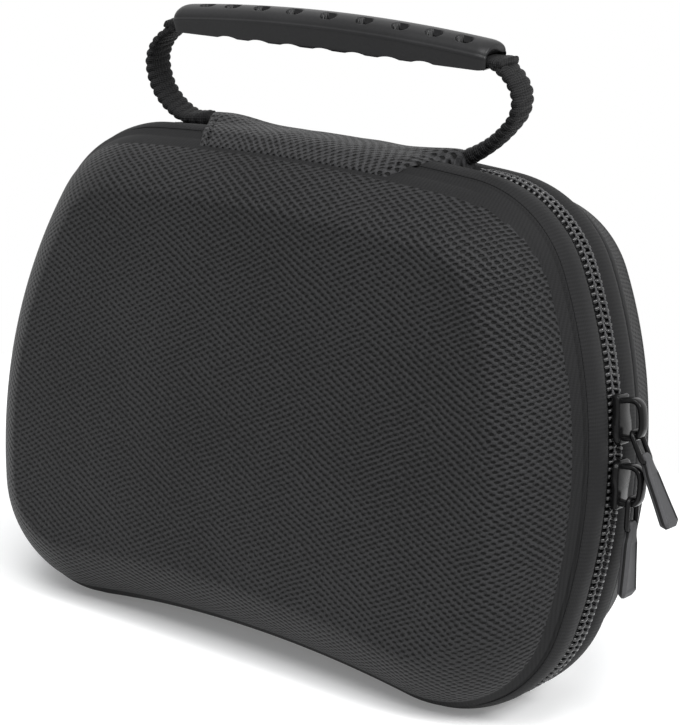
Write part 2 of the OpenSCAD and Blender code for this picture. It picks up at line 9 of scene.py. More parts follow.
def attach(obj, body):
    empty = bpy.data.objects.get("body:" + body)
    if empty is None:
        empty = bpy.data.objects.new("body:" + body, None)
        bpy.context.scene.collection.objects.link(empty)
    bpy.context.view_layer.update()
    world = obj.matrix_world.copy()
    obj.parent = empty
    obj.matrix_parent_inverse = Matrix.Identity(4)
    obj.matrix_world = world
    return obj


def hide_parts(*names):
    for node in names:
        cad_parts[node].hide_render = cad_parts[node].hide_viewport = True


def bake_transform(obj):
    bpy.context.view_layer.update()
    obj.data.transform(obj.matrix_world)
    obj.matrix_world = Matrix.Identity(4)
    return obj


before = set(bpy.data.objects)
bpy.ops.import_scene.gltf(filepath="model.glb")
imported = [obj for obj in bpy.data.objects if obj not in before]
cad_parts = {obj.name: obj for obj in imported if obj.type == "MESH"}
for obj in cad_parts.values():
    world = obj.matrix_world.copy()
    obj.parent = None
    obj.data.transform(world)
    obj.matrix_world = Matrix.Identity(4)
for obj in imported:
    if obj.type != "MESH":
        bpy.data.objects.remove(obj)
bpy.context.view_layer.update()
random.seed(11)

# Sizes in mm, the same as in the CAD source
WIDTH, HEIGHT = 180.0, 134.0
SIDE_R, SIDE_Z = 134.0, 53.5
SIDE = (WIDTH / 2 - SIDE_R, SIDE_Z)
LOBE_R, CORNER_R, TOP_R, ARCH = 34.0, 34.0, 640.0, 4.0
RIM_Y, HINGE_Z = 3.6, 135.8
STRAP_RISE, HANDLE_MID, HANDLE_LEAN = 24.4, -2.0, math.radians(11.0)
GRIP_FLOOR, GRIP_LEN, GRIP_RISE = STRAP_RISE - 3.0, 93.0, 2.4
FACE_MID = HEIGHT * 0.47
UPPER, LOWER, UPPER_LEAN, LOWER_LEAN = 11.0, 4.4, 31.0, 5.0
TAU = 2 * math.pi


def meet(a, r, b, s):
    d = math.dist(a, b)
    ux, uz = (b[0] - a[0]) / d, (b[1] - a[1]) / d
    t = (r * r - s * s + d * d) / (2 * d)
    h = math.sqrt(r * r - t * t) * (1 if uz < 0 else -1)
    return (a[0] + t * ux - h * uz, a[1] + t * uz + h * ux)


def heading(a, b):
    return math.atan2(b[1] - a[1], b[0] - a[0])


def outline_arcs():
    lobe = (
        SIDE[0]
        + math.sqrt((SIDE_R - LOBE_R) ** 2 - (SIDE[1] - LOBE_R) ** 2),
        LOBE_R,
    )
    top = (0.0, HEIGHT - TOP_R)
    corner = meet(SIDE, SIDE_R - CORNER_R, top, TOP_R - CORNER_R)
    arch_r = (lobe[0] ** 2 + (LOBE_R - ARCH) ** 2 - LOBE_R**2) / (2 * ARCH)
    arch = (0.0, ARCH - arch_r)
    turns = [
        math.pi / 2,
        heading(top, corner),
        heading(SIDE, corner),
        heading(SIDE, lobe),
        heading(lobe, arch),
    ]
    arcs = [
        (top, TOP_R, turns[0], turns[1], 1),
        (corner, CORNER_R, turns[1], turns[2], 1),
        (SIDE, SIDE_R, turns[2], turns[3], 1),
        (lobe, LOBE_R, turns[3], turns[4], 1),
        (arch, arch_r, turns[4] + math.pi, math.pi / 2, -1),
    ]
    return [a + (abs(a[3] - a[2]) * a[1],) for a in arcs]


ARCS = outline_arcs()
HALF = sum(a[5] for a in ARCS)
AROUND = 2 * HALF
ROUNDING = 1e-6


def rim(s):
    """Point and outward normal on the outline, s mm along it from the top's middle."""
    s = s % AROUND
    left = s > HALF
    t = AROUND - s if left else s
    for (cx, cz), r, a0, a1, sign, length in ARCS:
        if t <= length + ROUNDING:
            break
        t -= length
    a = a0 + (a1 - a0) * min(t / length, 1.0)
    x, z = cx + r * math.cos(a), cz + r * math.sin(a)
    nx, nz = sign * math.cos(a), sign * math.sin(a)
    return (-x, z, -nx, nz) if left else (x, z, nx, nz)


def on_rim(s, inset, y):
    x, z, nx, nz = rim(s)
    return (x - inset * nx, y, z - inset * nz)


SIDE_TABLE = [rim(HALF * i / 2000) for i in range(2001)]


def half_width(z, inset):
    """Half the width of the outline at an inset, at one height."""
    return max(
        x - inset * nx for x, zz, nx, nz in SIDE_TABLE if abs(zz - inset * nz - z) < 0.6
    )


def curve(points, steps):
    """A smooth line through 2-D or 3-D points."""
    out = []
    last = len(points) - 1
    for i in range(last):
        p = [points[max(i - 1, 0)], points[i], points[i + 1], points[min(i + 2, last)]]
        for k in range(steps):
            t = k / steps
            out.append(
                tuple(
                    0.5
                    * (
                        2 * b
                        + (c - a) * t
                        + (2 * a - 5 * b + 4 * c - d) * t * t
                        + (3 * b - a - 3 * c + d) * t**3
                    )
                    for a, b, c, d in zip(*p)
                )
            )
    return out + [tuple(points[-1])]


def lengths(points):
    out = [0.0]
    for a, b in zip(points, points[1:]):
        out.append(out[-1] + math.dist(a, b))
    return out


def smooth_step(t):
    t = min(1.0, max(0.0, t))
    return t * t * (3 - 2 * t)


# Meshes


def make(name, verts, faces, uvs, mats, body, mat_index=None, sharp=None):
    """A mesh object from points in mm, riding on a body."""
    me = bpy.data.meshes.new(name)
    me.from_pydata([[c * 0.001 for c in v] for v in verts], [], faces)
    layer = me.uv_layers.new(name="UVMap")
    flat = [c for face in uvs for uv in face for c in uv]
    layer.data.foreach_set("uv", flat)
    for m in mats:
        me.materials.append(m)
    if mat_index:
        me.polygons.foreach_set("material_index", mat_index)
    bm = bmesh.new()
    bm.from_mesh(me)
    bmesh.ops.remove_doubles(bm, verts=bm.verts, dist=1e-7)
    bmesh.ops.recalc_face_normals(bm, faces=bm.faces)
    bm.to_mesh(me)
    bm.free()
    me.polygons.foreach_set("use_smooth", [True] * len(me.polygons))
    if sharp:
        me.set_sharp_from_angle(angle=math.radians(sharp))
    me.update()
    ob = bpy.data.objects.new(name, me)
    bpy.context.scene.collection.objects.link(ob)
    if body:
        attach(ob, body)
    return ob


class Build:
    """Gathers lofts into one mesh."""

    def __init__(self):
        self.v, self.f, self.uv, self.m = [], [], [], []

    def loft(self, rows, uvs=None, wrap=False, caps=(True, True), mat=0):
        """Skins closed rings of points; mat is a material's index or gives it for a row."""
        n, base = len(rows[0]), len(self.v)
        if uvs is None:
            around = lengths(list(rows[len(rows) // 2]) + [rows[len(rows) // 2][0]])
            along = lengths([r[0] for r in rows] + [rows[0][0]])
            uvs = [[(along[r], a) for a in around] for r in range(len(rows) + 1)]
        self.v += [p for row in rows for p in row]
        for r in range(len(rows) if wrap else len(rows) - 1):
            q = (r + 1) % len(rows)
            for i in range(n):
                j = (i + 1) % n
                self.f.append(
                    [base + r * n + i, base + r * n + j, base + q * n + j, base + q * n + i]
                )
                self.uv.append([uvs[r][i], uvs[r][i + 1], uvs[r + 1][i + 1], uvs[r + 1][i]])
                self.m.append(mat(r) if callable(mat) else mat)
        for cap, r in ((caps[0], 0), (caps[1], len(rows) - 1)):
            if wrap or not cap:
                continue
            self.f.append([base + r * n + i for i in range(n)])
            self.uv.append(list(uvs[r][:n]))
            self.m.append(mat(r) if callable(mat) else mat)

    def tube(self, path, radius, sides=8, side=None, wrap=False, mat=0):
        """A round tube along 3-D points; radius is one number or one for each point."""
        pts = [Vector(p) for p in path]
        rows = []
        n = len(pts)
        ref = Vector(side) if side else None
        for i, p in enumerate(pts):
            a = pts[(i - 1) % n] if wrap else pts[max(i - 1, 0)]
            b = pts[(i + 1) % n] if wrap else pts[min(i + 1, n - 1)]
            d = (b - a).normalized()
            if ref is None:
                ref = Vector((0, 1, 0)) if abs(d.y) < 0.9 else Vector((1, 0, 0))
            u = (ref - d * ref.dot(d)).normalized()
            w = d.cross(u)
            if not side:
                ref = u
            r = radius[i] if isinstance(radius, (list, tuple)) else radius
            rows.append(
                [
                    tuple(p + u * r * math.cos(t) + w * r * math.sin(t))
                    for t in (TAU * k / sides for k in range(sides))
                ]
            )
        self.loft(rows, wrap=wrap, mat=mat)

    def object(self, name, mats, body, sharp=None):
        return make(name, self.v, self.f, self.uv, mats, body, self.m, sharp)


def stitches(build, spots, length, radius, sides=6):
    """Short rounded thread stitches at (point, direction, outward) spots."""
    for p, d, o in spots:
        p, d, o = Vector(p), Vector(d).normalized(), Vector(o).normalized()
        path, radii = [], []
        for t in (-0.5, -0.42, -0.22, 0.0, 0.22, 0.42, 0.5):
            path.append(p + d * length * t + o * radius * (0.75 - 11 * t**4))
            radii.append(radius * (1 - (2 * abs(t)) ** 6 * 0.6))
        build.tube(path, radii, sides=sides)


# Materials


class Graph:
    """Builds one material's nodes."""

    def __init__(self, name, rough, specular=0.3, sheen=0.0):
        self.material = bpy.data.materials.new(name)
        self.material.use_nodes = True
        self.tree = self.material.node_tree
        self.shader = self.tree.nodes["Principled BSDF"]
        self.shader.inputs["Roughness"].default_value = rough
        self.shader.inputs["Specular IOR Level"].default_value = specular
        self.shader.inputs["Sheen Weight"].default_value = sheen
        self.shader.inputs["Sheen Roughness"].default_value = 0.5

    def put(self, socket, value):
        if isinstance(value, bpy.types.NodeSocket):
            self.tree.links.new(value, socket)
        else:
            socket.default_value = value

    def node(self, kind, **inputs):
        n = self.tree.nodes.new(kind)
        for key, value in inputs.items():
            self.put(n.inputs[key], value)
        return n

    def math(self, op, *args):
        n = self.tree.nodes.new("ShaderNodeMath")
        n.operation = op
        for i, a in enumerate(args):
            self.put(n.inputs[i], a)
        return n.outputs[0]

    def add(self, a, b):
        return self.math("ADD", a, b)

    def mul(self, a, b):
        return self.math("MULTIPLY", a, b)

    def cosine(self, phase, low=0.0, high=1.0):
        """A wave between low and high; phase is in turns."""
        c = self.math("COSINE", self.mul(phase, TAU))
        return self.math("MULTIPLY_ADD", c, (high - low) / 2, (high + low) / 2)

    def uv(self):
        n = self.tree.nodes.new("ShaderNodeUVMap")
        n.uv_map = "UVMap"
        s = self.node("ShaderNodeSeparateXYZ", Vector=n.outputs[0])
        return n.outputs[0], s.outputs[0], s.outputs[1]

    def place(self):
        return self.tree.nodes.new("ShaderNodeTexCoord").outputs["Object"]

    def noise(self, vector, scale, detail=2.0, stretch=None):
        if stretch:
            m = self.node("ShaderNodeMapping", Vector=vector)
            m.inputs["Scale"].default_value = stretch
            vector = m.outputs[0]
        n = self.node("ShaderNodeTexNoise", Vector=vector, Scale=scale, Detail=detail)
        return n.outputs[0]

    def ramp(self, value, stops):
        n = self.node("ShaderNodeValToRGB", Fac=value)
        e = n.color_ramp.elements
        while len(e) < len(stops):
            e.new(0.5)
        for item, (at, c) in zip(e, stops):
            item.position = at
            item.color = (c, c, c * 1.04, 1) if isinstance(c, float) else (*c, 1)
        return n.outputs[0]

    def finish(self, colour, height=None, depth=0.0002, rough=None):
        self.put(self.shader.inputs["Base Color"], colour)
        if rough is not None:
            self.put(self.shader.inputs["Roughness"], rough)
        if height is not None:
            b = self.node("ShaderNodeBump", Height=height, Strength=1.0, Distance=depth)
            self.tree.links.new(b.outputs[0], self.shader.inputs["Normal"])
        return self.material


def lattice(g, vec, u, v, k1, k2, lean):
    """Woven floats on a slanted lattice, 1 on a float and 0 in a pinhole.

    One of the two sets of rows leads, by zones.
    """
    a = g.add(g.mul(u, k1[0]), g.mul(v, k1[1]))
    b = g.add(g.mul(u, k2[0]), g.mul(v, k2[1]))
    zone = g.math("MULTIPLY_ADD", g.noise(vec, 0.055, 1.0), 1.5, lean - 0.75)
    zone = g.math("MINIMUM", g.math("MAXIMUM", zone, 0.2), 0.8)
    rows = g.add(g.mul(g.cosine(a), zone), g.mul(g.cosine(b), g.math("SUBTRACT", 1.0, zone)))
    hole = g.mul(g.cosine(a, 1.0, 0.0), g.cosine(b, 1.0, 0.0))
    closed = g.math("MULTIPLY_ADD", hole, -2.4, 1.6)
    closed = g.math("MINIMUM", g.math("MAXIMUM", closed, 0.0), 1.0)
    return g.add(g.mul(rows, 0.45), g.mul(closed, 0.55))


def wander(g, vec, u, v, scale, amount):
    """Shifts u and v a little, as hand-laid cloth does."""
    n = g.node("ShaderNodeTexNoise", Vector=vec, Scale=scale, Detail=1.0)
    s = g.node("ShaderNodeSeparateColor", Color=n.outputs[1])
    u2 = g.add(u, g.mul(g.add(s.outputs[0], -0.5), amount))
    v2 = g.add(v, g.mul(g.add(s.outputs[1], -0.5), amount))
    return u2, v2


def weave_material(name, k1, k2, dark, light, depth, lean=0.5, specular=0.1):
    g = Graph(name, 0.5, specular, 0.03)
    vec, u, v = g.uv()
    u, v = wander(g, vec, u, v, 0.16, 0.9)
    u, v = wander(g, vec, u, v, 0.8, 0.25)
    d = lattice(g, vec, u, v, k1, k2, lean)
    threads = g.noise(vec, 1.0, 2.0, (5.0, 1.4, 1.0))
    grain = g.noise(vec, 1.3, 2.0)
    blotch = g.noise(g.place(), 22.0, 2.0)
    spread = g.add(g.mul(threads, 0.4), g.add(g.mul(grain, 0.8), g.mul(blotch, 0.3)))
    # the colour follows the lattice: floats painted lighter and pinholes darker, a painted
    # highlight and painted shade of the weave's relief on top of the bump; the noise adds the
    # threads' own uneven tone
    tone = g.add(d, g.add(spread, -0.75))
    stops = [(0.22, dark), (0.5, light * 0.28), (0.68, light * 0.42), (0.92, light)]
    height = g.add(d, g.add(g.mul(threads, 0.25), g.mul(grain, 0.5)))
    return g.finish(g.ramp(tone, stops), height, depth)


def tape_material(name, rib, dark, light, depth, cross=0.55, rough=0.7, specular=0.2):
    g = Graph(name, rough, specular, 0.02)
    vec, u, v = g.uv()
    u, v = wander(g, vec, u, v, 0.25, 0.35)
    ribs = g.cosine(g.mul(u, 1 / rib))
    fine = g.cosine(g.mul(v, 1 / cross))
    patch = g.noise(vec, 0.07, 1.0)
    h = g.add(g.mul(ribs, g.mul(patch, 1.3)), g.mul(fine, 0.35))
    tone = g.add(g.mul(h, 0.5), g.mul(g.noise(g.place(), 30.0), 0.5))
    return g.finish(g.ramp(tone, [(0.15, dark), (1.0, light)]), h, depth)


def plain_material(name, dark, light, rough, grain, depth, specular):
    g = Graph(name, rough, specular)
    place = g.place()
    fine = g.noise(place, grain, 3.0)
    broad = g.noise(place, 60.0, 2.0)
    colour = g.ramp(g.add(g.mul(fine, 0.4), g.mul(broad, 0.6)), [(0.3, dark), (0.7, light)])
    r = g.math("MULTIPLY_ADD", broad, 0.16, rough - 0.08)
    return g.finish(colour, fine, depth, rough=r)


# Rows per mm along and across, for the shells' two sets of rows and for the strip's
K1, K2 = (0.335, 0.568), (0.405, -0.73)
fabric = weave_material("shell_weave", K1, K2, 0.0005, 0.0245, 0.0004, 0.55)
# the rear shell is the front's cloth painted darker, with a lower specular level: painted shade
# against the light that grazes it from the right
rear_fabric_shaded = weave_material("shell_weave_rear_shaded", K1, K2, 0.001, 0.012, 0.00025, 0.2, 0.04)
M1, M2 = (0.35, 0.37), (0.35, -0.42)
mesh_cloth = weave_material("strip_mesh", M1, M2, 0.0005, 0.034, 0.0007)
band_cloth = tape_material("zip_tape", 0.95, 0.007, 0.014, 0.00006, specular=0.12)
binding_cloth = tape_material("binding_tape", 0.8, 0.010, 0.019, 0.00008)
lining = tape_material("lining_tricot", 0.7, 0.022, 0.034, 0.00005, 0.9, 0.9, 0.05)
webbing = tape_material("webbing", 0.55, 0.002, 0.02, 0.00016, 0.8, 0.55, 0.1)
elastic = tape_material("elastic", 1.1, 0.016, 0.035, 0.00016, cross=1.0)
net_cloth = tape_material("pocket_net", 0.6, 0.020, 0.038, 0.00006)
coil_nylon = plain_material("coil_nylon", 0.006, 0.016, 0.28, 900.0, 0.00002, 0.5)
zip_thread = plain_material("zip_thread", 0.03, 0.10, 0.55, 2500.0, 0.00003, 0.2)
metal = plain_material("slider_enamel", 0.003, 0.006, 0.18, 700.0, 0.00001, 0.12)
grip_rubber = plain_material("grip_rubber", 0.011, 0.018, 0.36, 1400.0, 0.00002, 0.16)
# near-black painted shade for the inside of the grip's blind holes, which are the grip's own
# rubber
hole_painted_shade = plain_material("hole_painted_shade", 0.001, 0.003, 0.6, 1400.0, 0.00002, 0.05)
tab_rubber = plain_material("tab_rubber", 0.042, 0.06, 0.6, 1600.0, 0.00002, 0.2)
# darker copy of the tab's rubber: painted shade for the tab's sides and the walls of its sunk
# frame
tab_painted_shade = plain_material("tab_painted_shade", 0.003, 0.007, 0.5, 1600.0, 0.00002, 0.2)


# Moulded shells: fabric outside, lining inside


WALL, CROWN = 3.2, 1.0
SEAT, SHOULDER, SHOULDER_Y = 1.6, 1.9, 15.5
GROOVE, GROOVE_Y, GROOVE_STEPS = 1.1, 13.2, 12
EDGE_STEPS, INNER_STEPS, FACE_RINGS, FLOOR_RINGS = 24, 8, 20, 8
AROUND_STEPS, LAP_ROWS = 480, 8


def shell(name, node, body, sign, depth, draft_depth, draft, edge, bow):
    """One shell, lofted in rings round the rim: inner floor, inner wall, groove, edge, face."""
    wall_y = SHOULDER_Y + draft_depth
    rise, reach, power = depth - CROWN - wall_y, SHOULDER + draft + edge, 2.0 / bow

    def rounded(turn, bend, height):
        a = math.pi / 2 * turn
        across = reach - bend * abs(math.cos(a)) ** power
        return (across, wall_y + height * math.sin(a) ** power)

    out = [(SEAT, RIM_Y), (SEAT, 8.0), (SEAT, 12.6)]
    for k in range(GROOVE_STEPS + 1):
        t = k / GROOVE_STEPS
        dip = GROOVE * math.sin(math.pi * t) ** 1.4
        across = SEAT + (SHOULDER - SEAT) * t + dip
        out.append((across, GROOVE_Y + (SHOULDER_Y - GROOVE_Y) * t))
    out += [(SHOULDER + draft * t, SHOULDER_Y + draft_depth * t) for t in (0.25, 0.5, 0.75)]
    out += [rounded(k / EDGE_STEPS, edge, rise) for k in range(EDGE_STEPS + 1)]
    inner = [
        rounded(k / INNER_STEPS, edge - WALL, rise - WALL) for k in range(INNER_STEPS, -1, -1)
    ]
    inner += [(SEAT + WALL, y) for y in (14.0, 9.0, RIM_Y)]
    n = AROUND_STEPS
    pts = [rim(AROUND * i / n) for i in range(n)]
    run = lengths(out)
    rows, uvs, mats = [], [], []

    def ring(inset, y, back, mat):
        rows.append([(x - inset * nx, sign * y, z - inset * nz) for x, z, nx, nz in pts])
        row = [(x + nx * (back - reach), z + nz * (back - reach)) for x, z, nx, nz in pts]
        uvs.append(row + row[:1])
        mats.append(mat)

    def face(inset, y, share, mat):
        flat = [(x - inset * nx, z - inset * nz) for x, z, nx, nz in pts]
        row = [(x * share, FACE_MID + (z - FACE_MID) * share) for x, z in flat]
        rows.append([(x, sign * y, z) for x, z in row])
        uvs.append(row + row[:1])
        mats.append(mat)

    for k in range(1, FLOOR_RINGS + 1):
        face(reach, depth - CROWN - WALL, k / (FLOOR_RINGS + 0.5), 1)
    for inset, y in inner:
        ring(inset, y, 0.0, 1)
    mats[-1] = 0
    for (inset, y), d in zip(out, run):
        ring(inset, y, (run[-1] - d) * 0.9, 0)
    for k in range(1, FACE_RINGS + 1):
        t = 1 - k / (FACE_RINGS + 1.5)
        face(reach, depth - CROWN * t * t, t, 0)
    b = Build()
    b.loft(rows, uvs, mat=lambda r: mats[r])
    # smooth cloth fills the groove and laps onto the front shell, widest along the top
    edge_row = FLOOR_RINGS + len(inner) + len(out) - (EDGE_STEPS + 1)
    draft_row, groove_row = -3, -3 - (GROOVE_STEPS + 1)
    for k in range(groove_row, LAP_ROWS if sign < 0 else draft_row):
        for i in range(n):
            if k < 6.5 * max(0.0, pts[i][3]) ** 1.5:
                b.m[(edge_row + k) * n + i] = 2
    # the rear shell's cloth carries a painted shade
    outside = fabric if sign < 0 else rear_fabric_shaded
    ob = b.object(name, [outside, lining, band_cloth], body, sharp=60)
    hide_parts(node)


shell("front_cover", "front_shell", "lid", -1, 33.0, 2.0, 1.7, 14.5, 1.33)
shell("rear_cover", "rear_shell", "rear", 1, 39.0, 15.5, 3.9, 11.0, 1.85)


# Padded zip tape on each rim, with the coil's seat in front of it

# (from the middle plane, inset); the last points are the woven tape's edge behind the coil
BAND = curve(
    [(0.7, 1.32), (2.2, 1.3), (3.1, 1.22), (3.7, 1.0), (4.3, 0.75), (5.3, 0.34), (6.6, 0.08)]
    + [(8.2, 0.0), (9.7, 0.06), (11.0, 0.3), (12.1, 0.72), (12.9, 1.15), (13.3, 1.5)],
    4,
) + [(3.5, 1.52), (3.5, 2.8), (0.05, 2.8), (0.05, 2.35), (0.7, 2.3)]
ZIP_START, UNDER_STRIP = 42.3, 14.0


def zip_band(name, node, body, sign):
    """The band runs on under the strip; its padding swells and sinks a little."""
    n, padded_inset = 440, 1.4
    start = ZIP_START - UNDER_STRIP
    span = AROUND - 2 * start
    run = lengths(BAND + [BAND[0]])
    rows, uvs = [], []
    for k in range(n + 1):
        s = start + span * k / n
        swell = abs(0.06 * math.sin(s * 0.21) * math.sin(s * 0.083 + 1))
        rows.append([on_rim(s, i + swell * (i < padded_inset), sign * y) for y, i in BAND])
        uvs.append([(s, d) for d in run])
    b = Build()
    b.loft(rows, uvs)
    ob = b.object(name, [band_cloth], body, sharp=50)
    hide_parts(node)


zip_band("band_front", "zip_tape_front", "lid", -1)
zip_band("band_rear", "zip_tape_rear", "rear", 1)


# Coil: slanted nylon turns with a sewing thread over them

PITCH, TURN_RUN, TURN_R, THREAD_R = 1.75, 1.4, 0.54, 0.26
# One turn: (from the middle plane, inset, share of its run along the zip)
TURN = [
    (0.68, 1.7, 0.0),
    (0.66, 1.0, 0.02),
    (0.9, 0.6, 0.08),
    (1.5, 0.42, 0.2),
    (2.3, 0.45, 0.34),
    (2.92, 0.82, 0.46),
    (3.0, 1.75, 0.5),
]


def zip_coil(name, node, body, sign, shift):
    b = Build()
    count = int((AROUND - 2 * ZIP_START - 2) / PITCH)
    first = ZIP_START + 1
    for k in range(count):
        s = first + (k + shift) * PITCH
        jitter = random.uniform(-0.04, 0.04)
        turn = [on_rim(s + d * TURN_RUN + jitter, i, sign * y) for y, i, d in TURN]
        b.tube(turn, TURN_R, sides=6)
    cord = []
    for k in range(count * 4):
        s = first + (k / 4 + shift) * PITCH
        lift = 0.12 + 0.42 * (0.5 + 0.5 * math.cos(TAU * (k / 4 - 0.2)))
        cord.append(on_rim(s, lift, sign * 1.85))
    b.tube(cord, THREAD_R, sides=5, mat=1)
    ob = b.object(name, [coil_nylon, zip_thread], body)
    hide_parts(node)


zip_coil("coil_front", "zip_coil_front", "lid", -1, 0.0)
zip_coil("coil_rear", "zip_coil_rear", "rear", 1, 0.5)


# Binding sewn round the inside of each rim


def edge_binding(name, node, body, sign):
    n, stitch_pitch, face_inset = 360, 3.2, 5.85
    section = [(4.95, 3.9), (4.95, 10.8), (5.1, 11.05), (5.5, 11.05), (5.8, 10.7), (5.85, 9.0)]
    section += [(5.85, 5.8), (5.8, 4.1), (5.5, 3.68), (5.1, 3.65)]
    run = lengths(section + section[:1])
    rows, uvs = [], []
    for k in range(n):
        s = AROUND * k / n
        rows.append([on_rim(s, i, sign * y) for i, y in section])
        uvs.append([(s, d) for d in run])
    uvs.append([(AROUND, d) for d in run])
    b = Build()
    b.loft(rows, uvs, wrap=True)
    spots = []
    for k in range(int(AROUND / stitch_pitch)):
        s = k * stitch_pitch
        nx, nz = rim(s)[2:]
        spots.append((on_rim(s, face_inset, sign * 9.6), (nz, 0, -nx), (-nx, 0, -nz)))
    stitches(b, spots, 2.2, 0.16, 5)
    ob = b.object(name, [binding_cloth], body, sharp=50)
    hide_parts(node)


edge_binding("binding_front", "front_edge_binding", "lid", -1)
edge_binding("binding_rear", "rear_edge_binding", "rear", 1)


# Padded mesh strip along the top


STRIP_HALF, SEAM_IN = 41.0, 3.4
TENT_LEFT, TENT_RIGHT = 2.3, 2.1
# (depth, height over the rim), here and in the strip's section
UNDER = [(-20.7, -5.2), (-18.0, -3.75), (-16.0, -2.35), (-14.0, -1.5), (14.0, -1.48)]


def under(y):
    """The strip's underside, which laps over the front shell's edge."""
    for (y0, o0), (y1, o1) in zip(UNDER, UNDER[1:]):
        if y <= y1:
            break
    return o0 + (o1 - o0) * min(max((y - y0) / (y1 - y0), 0.0), 1.0)


def strip_end(y):
    """The share of the strip's full length at one depth."""
    return 1 - 0.015 * abs(y)


def hinge_strip():
    """Crowned cloth with soft ends, a sewn seam near each, and tents over the strap's roots."""
    n, half = 164, STRIP_HALF
    top = curve(
        [(-20.6, -5.1), (-20.4, -4.45), (-19.5, -3.65), (-18.0, -2.7), (-16.0, -1.35)]
        + [(-14.0, -0.5), (-11.2, 0.3), (-7.5, 0.8), (-3.5, 1.0), (0.0, 1.05), (3.5, 1.0)]
        + [(7.5, 0.8), (11.2, 0.35), (12.7, -0.2), (13.4, -0.8), (13.5, -1.35)],
        6,
    )
    low = [(y, under(y)) for y in (12.0, 6.0, 0.0, -6.0, -12.0, -14.0, -16.0, -18.0, -20.0)]
    section = top + low
    run = lengths(section + [section[0]])
    rows, uvs = [], []
    for k in range(n + 1):
        s = -half + 2 * half * k / n
        end = (half - abs(s)) / 2.4
        drop = 0.0 if end >= 1 else 1 - math.sqrt(max(0.0, 1 - (1 - end) ** 2))
        seam = 0.55 * math.exp(-(((half - abs(s)) - SEAM_IN) / 0.55) ** 2)
        tent = (TENT_LEFT if s < 0 else TENT_RIGHT) * smooth_step((abs(s) - 18.0) / 20.0)
        row = []
        for i, (y, o) in enumerate(section):
            if i < len(top):
                lump = 0.10 * math.sin(s * 0.31 + y * 0.2) * math.sin(s * 0.13 - y * 0.35)
                fold = tent * math.exp(-((y / 7.0) ** 4)) * (1 - drop)
                o = max(o - drop * (o - under(y)) - seam + lump + fold, under(y) + 0.05)
            row.append(on_rim(s * strip_end(y), -o, y))
        rows.append(row)
        uvs.append([(s, d) for d in run])
    b = Build()
    b.loft(rows, uvs)
    spots = []
    for side in (-1, 1):
        for k in range(14):
            y = -17.5 + 2.2 * k
            x, z, nx, nz = rim(side * (half - SEAM_IN) * strip_end(y))
            o = 0.25 - 0.004 * y * y if y > -12 else under(y) + 0.5
            spots.append(((x + o * nx, y, z + o * nz), (0, 1, 0), (nx, 0, nz)))
    stitches(b, spots, 1.5, 0.2)
    strip = b.object("top_strip", [mesh_cloth], None, sharp=60)
    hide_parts("hinge_strip")
    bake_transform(strip)


hinge_strip()


# Handle: ribbed webbing bent from root to root, with a moulded grip on it

# The strap's middle line as (across, up) in the handle's frame, from the left root round
ROUTE = [(-38.6, -1.6), (-42.5, -1.8), (-46.4, -1.5), (-51.3, 1.3), (-54.9, 5.7)]
ROUTE += [(-56.5, 11.6), (-55.2, 16.4), (-51.9, 19.9), (-47.2, 22.3), (-43.0, 23.1)]
ROUTE += [(43.0, 23.2), (47.6, 22.9)]
ROUTE += [(51.9, 20.2), (54.4, 16.0), (54.0, 11.3), (51.2, 7.2), (47.6, 3.6), (43.2, 0.4)]
ROUTE += [(38.6, -2.2)]
# Half thickness and half width of the webbing when open, at its roots and in the grip
OPEN, ROOT, HELD = (1.35, 4.75), (2.3, 2.35), (1.25, 4.2)
RIB, RIB_DEPTH = 2.2, 0.55
LEFT_ROOT, RIGHT_ROOT = 9.0, 24.0


def on_handle(x, y, h):
    """A point of the handle's own frame, which leans forwards about the hinge line."""
    c, s = math.cos(HANDLE_LEAN), math.sin(HANDLE_LEAN)
    return (HANDLE_MID + x, y * c - h * s, HINGE_Z + y * s + h * c)


def handle_strap():
    line = curve(ROUTE, 60)
    run = lengths(line)
    total = run[-1]
    step, sides = 0.25, 32
    rows, uvs = [], []
    i = 0
    for k in range(int(total / step)):
        s = k * step
        while run[i + 1] < s:
            i += 1
        t = (s - run[i]) / (run[i + 1] - run[i])
        x = line[i][0] + (line[i + 1][0] - line[i][0]) * t
        z = line[i][1] + (line[i + 1][1] - line[i][1]) * t
        dx, dz = line[i + 1][0] - line[i][0], line[i + 1][1] - line[i][1]
        d = math.hypot(dx, dz)
        nx, nz = -dz / d, dx / d
        root = min(s / LEFT_ROOT, (total - s) / RIGHT_ROOT, 1.0)
        spread = 1 - (1 - root) ** 1.6
        bare = max(0.0, min(1.0, (abs(x) - GRIP_LEN / 2) / 2.5)) if z > 20 else 1.0
        thick, wide = (
            held + (narrow + (free - narrow) * spread - held) * bare
            for free, narrow, held in zip(OPEN, ROOT, HELD)
        )
        row = []
        for q in range(sides):
            a = TAU * q / sides
            ca, sa = math.cos(a), math.sin(a)
            lens = abs(ca) ** 0.55 * (1 if ca > 0 else -1)
            y = wide * abs(sa) ** 0.8 * (1 if sa > 0 else -1)
            slant = s + 0.2 * y * (1 if ca > 0 else -1)
            r = abs(math.sin(math.pi * slant / RIB)) ** 0.6
            across = (thick - bare * (1 - r) * RIB_DEPTH) * lens
            y *= 1 - bare * (1 - r) * 0.12
            row.append(on_handle(x + nx * across, y, z + nz * across))
        rows.append(row)
        uvs.append([(s, q * 0.75) for q in range(sides + 1)])
    b = Build()
    b.loft(rows, uvs)
    ob = b.object("strap_webbing", [webbing], "handle")
    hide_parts("handle_strap")


